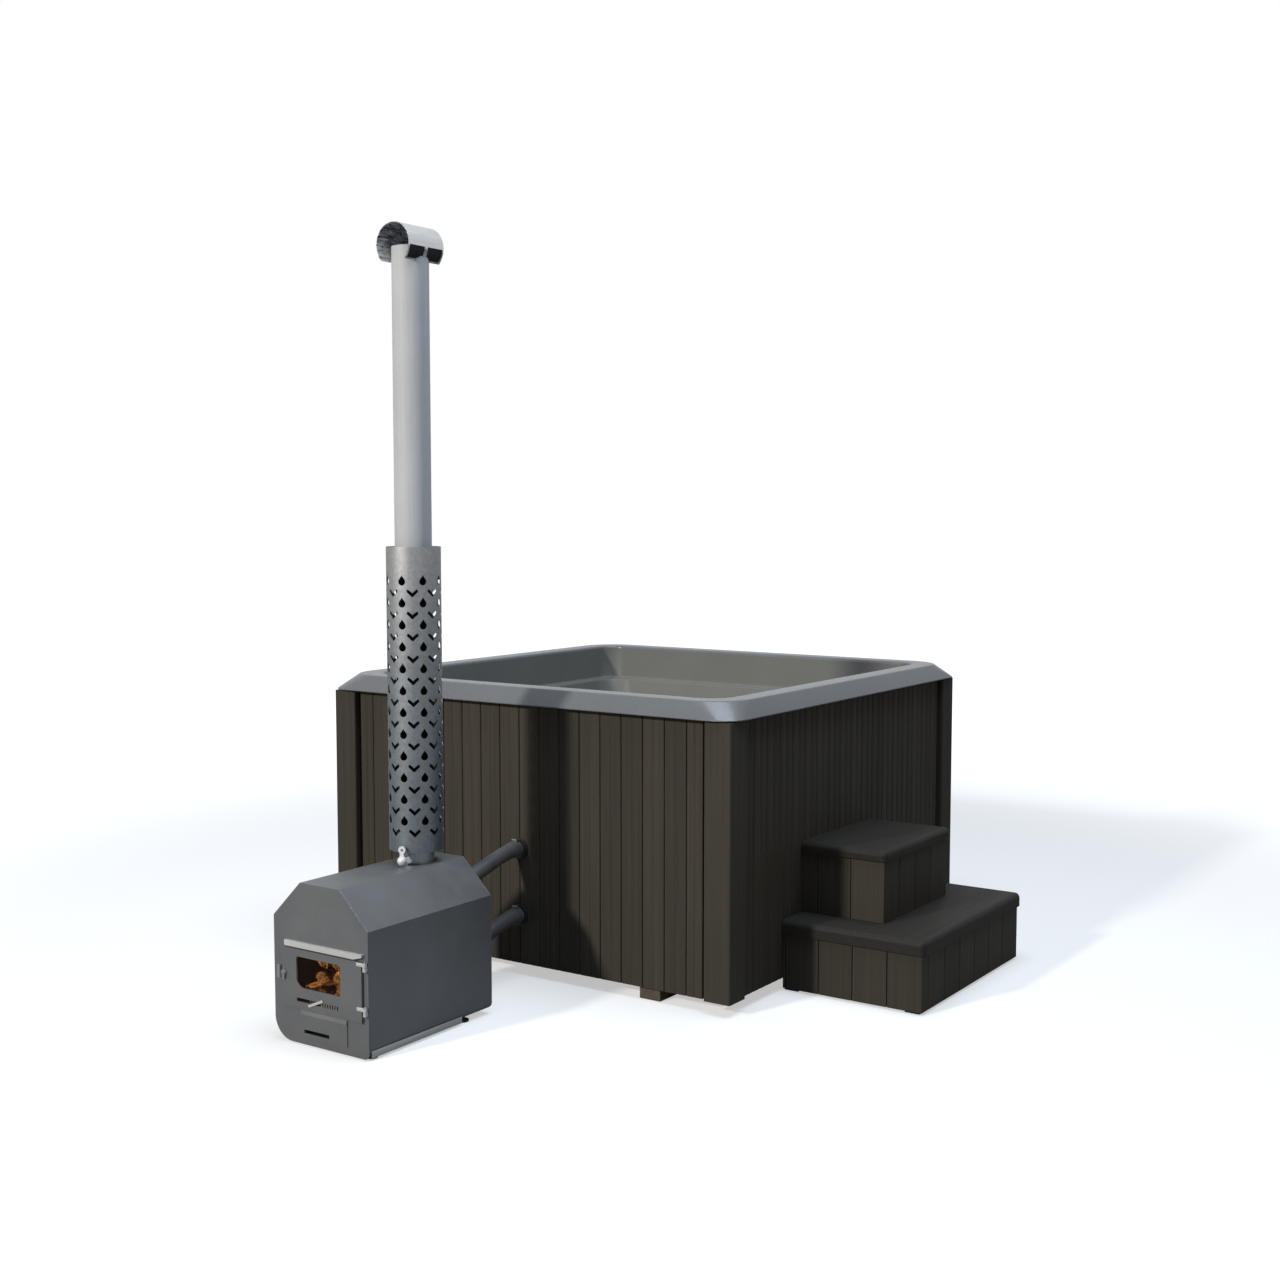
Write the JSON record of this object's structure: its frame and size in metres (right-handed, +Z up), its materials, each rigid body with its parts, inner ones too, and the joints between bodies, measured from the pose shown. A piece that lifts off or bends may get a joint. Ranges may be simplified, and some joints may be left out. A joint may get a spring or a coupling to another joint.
{
  "type": "hot tub",
  "caption": "Square wood-fired hot tub with boarded sides, a moulded seat shell, a pair of steps and an outside stove with a tall chimney.",
  "frame": {"origin": "on the ground under the middle of the tub", "axes": "+Z up, -Y towards the stove, +X towards the steps"},
  "size_m": [2.602, 3.2146, 2.899],
  "materials": {
    "frame_timber": "sawn treated softwood",
    "cladding_wood": "brushed boards stained dark brown",
    "post_wood": "planed and stained dark brown",
    "gelcoat": "smooth moulded shell, silver grey with a fine pearl",
    "insulation": "rigid foam",
    "stove_paint": "satin heat-proof paint",
    "fire_iron": "rough, blackened by fire",
    "stainless": "drawn along the pipe",
    "galvanised": "dull zinc",
    "bright_steel": "polished",
    "hose_rubber": "smooth, satin",
    "rope": "woven glass rope",
    "brass": "turned",
    "fire_glass": "clear, slightly smoked",
    "log_wood": "split, with bark",
    "black_plastic": "moulded",
    "lever_paint": "gloss paint"
  },
  "bodies": {
    "tub": {"base_bearers": "frame_timber", "floor_joists": "frame_timber", "floor_deck": "frame_timber", "bottom_rails": "frame_timber", "wall_studs": "frame_timber", "top_rails": "frame_timber", "wall_insulation": "insulation", "front_cladding": "cladding_wood", "right_cladding": "cladding_wood", "back_cladding": "cladding_wood", "left_cladding": "cladding_wood", "corner_posts": "post_wood", "rim_moulding": "gelcoat", "seat_moulding": "gelcoat", "well_moulding": "gelcoat", "well_covers": "stainless", "drain_pipe": "black_plastic", "drain_valve": "brass", "wall_unions": "black_plastic", "under_seat_pipes": "black_plastic", "hot_hose": "hose_rubber", "cold_hose": "hose_rubber", "hose_clamps": "bright_steel", "step_feet": "black_plastic", "step_frame": "frame_timber", "lower_step_boards": "cladding_wood", "upper_step_boards": "cladding_wood", "lower_tread": "cladding_wood", "upper_tread": "cladding_wood", "stove_feet": "black_plastic", "stove_casing": "stove_paint", "stove_front_plate": "stove_paint", "stove_back_plate": "stove_paint", "firebox": "fire_iron", "fire_grate": "fire_iron", "firewood": "log_wood", "water_stubs": "stainless", "hinge_brackets": "bright_steel", "latch_keeper": "bright_steel", "heat_lip": "bright_steel", "flue_throat": "stove_paint", "flue_collar": "stove_paint", "lower_flue": "stainless", "upper_flue": "stainless", "heat_shield": "galvanised", "shield_spacers": "galvanised", "flue_cowl": "bright_steel", "cowl_brackets": "bright_steel"},
    "door": {"door_plate": "stove_paint", "door_glass": "fire_glass", "glass_frame": "fire_iron", "door_seal": "rope", "air_grille": "fire_iron"},
    "latch": {"door_latch": "bright_steel"},
    "slider": {"air_slider": "bright_steel"},
    "drawer": {"ash_drawer": "stainless", "drawer_front": "stove_paint"},
    "damper": {"damper_plate": "fire_iron", "damper_handle": "bright_steel"},
    "lever": {"valve_lever": "lever_paint"}
  },
  "joints": [
    {"name": "stove_door", "type": "hinge", "parent": "tub", "child": "door", "pos_m": [0.22, -2.0993, 0.239], "axis": [0, 0, 1], "range_deg": [0, 120]},
    {"name": "door_latch", "type": "hinge", "parent": "door", "child": "latch", "pos_m": [-0.165, -2.1, 0.255], "axis": [0, -1, 0], "range_deg": [0, 90]},
    {"name": "air_slider", "type": "slide", "parent": "door", "child": "slider", "axis": [1, 0, 0], "range_m": [-0.08, 0.01]},
    {"name": "ash_drawer", "type": "slide", "parent": "tub", "child": "drawer", "axis": [0, -1, 0], "range_m": [0, 0.28]},
    {"name": "flue_damper", "type": "hinge", "parent": "tub", "child": "damper", "pos_m": [0, -1.59, 0.614], "axis": [-0.2588, 0.9659, 0], "range_deg": [0, 90]},
    {"name": "drain_lever", "type": "hinge", "parent": "tub", "child": "lever", "pos_m": [0.15, 1.038, 0.23], "axis": [0, 0, 1], "range_deg": [0, 90]}
  ]
}
